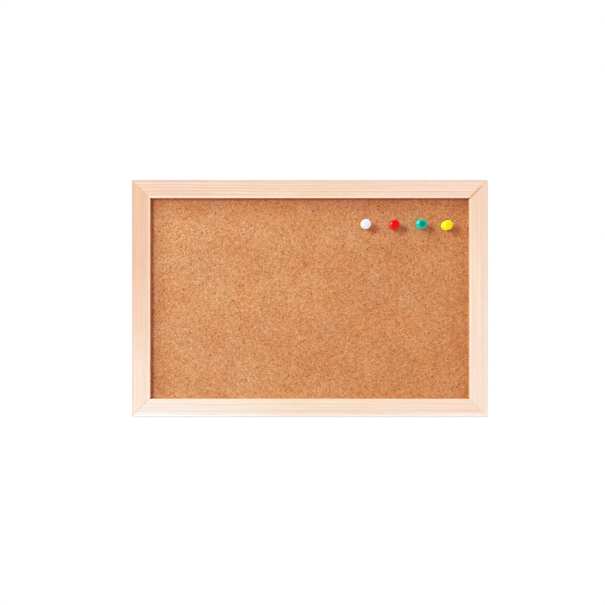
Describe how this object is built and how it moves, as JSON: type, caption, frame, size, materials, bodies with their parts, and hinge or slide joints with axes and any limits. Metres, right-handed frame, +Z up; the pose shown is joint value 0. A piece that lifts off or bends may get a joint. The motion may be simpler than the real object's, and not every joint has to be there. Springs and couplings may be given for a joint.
{
  "type": "cork bulletin board",
  "caption": "Small landscape cork board in a mitred wooden frame, with push pins for notes and swinging rings behind it for hanging on a wall.",
  "frame": {"origin": "middle of the board, in the plane of the wall that the rubber bumpers rest on", "axes": "+X to the right as the board is read, +Y into the wall, +Z up; the cork faces -Y"},
  "size_m": [0.3, 0.0263, 0.2],
  "materials": {
    "pine": "planed and lightly sealed pine",
    "cork": "pressed cork granules, unsealed",
    "fibreboard": "soft pressed fibre",
    "hardboard": "smooth pressed hardboard",
    "steel": "bright stamped steel",
    "rubber": "matt moulded rubber",
    "needle_steel": "polished wire",
    "white_plastic": "glossy moulding",
    "red_plastic": "glossy moulding",
    "green_plastic": "glossy moulding",
    "yellow_plastic": "glossy moulding",
    "hanger_brass": "brass-plated steel"
  },
  "bodies": {
    "board": {"top_rail": "pine", "bottom_rail": "pine", "left_stile": "pine", "right_stile": "pine", "cork_sheet": "cork", "fibreboard_core": "fibreboard", "hardboard_back": "hardboard", "backing_points": "steel", "corner_v_nails": "steel", "left_hanger_strap": "hanger_brass", "right_hanger_strap": "hanger_brass", "left_hanger_screw": "hanger_brass", "right_hanger_screw": "hanger_brass", "wall_bumpers": "rubber"},
    "white_pin": {"white_pin_head": "white_plastic", "white_pin_needle": "needle_steel"},
    "red_pin": {"red_pin_head": "red_plastic", "red_pin_needle": "needle_steel"},
    "green_pin": {"green_pin_head": "green_plastic", "green_pin_needle": "needle_steel"},
    "yellow_pin": {"yellow_pin_head": "yellow_plastic", "yellow_pin_needle": "needle_steel"},
    "left_ring": {"left_hanger_ring": "hanger_brass"},
    "right_ring": {"right_hanger_ring": "hanger_brass"}
  },
  "joints": [
    {"name": "white_pin_pull", "type": "slide", "parent": "board", "child": "white_pin", "axis": [0, -0.9962, -0.0872], "range_m": [0, 0.025]},
    {"name": "red_pin_pull", "type": "slide", "parent": "board", "child": "red_pin", "axis": [-0.0174, -0.9997, -0.0175], "range_m": [0, 0.025]},
    {"name": "green_pin_pull", "type": "slide", "parent": "board", "child": "green_pin", "axis": [0.0174, -0.9985, -0.0523], "range_m": [0, 0.025]},
    {"name": "yellow_pin_pull", "type": "slide", "parent": "board", "child": "yellow_pin", "axis": [0.0349, -0.9992, -0.0175], "range_m": [0, 0.025]},
    {"name": "left_ring_swing", "type": "hinge", "parent": "board", "child": "left_ring", "pos_m": [-0.1454, -0.00189, 0.068], "axis": [1, 0, 0], "range_deg": [0, 175]},
    {"name": "right_ring_swing", "type": "hinge", "parent": "board", "child": "right_ring", "pos_m": [0.1454, -0.00189, 0.068], "axis": [1, 0, 0], "range_deg": [0, 175]}
  ]
}
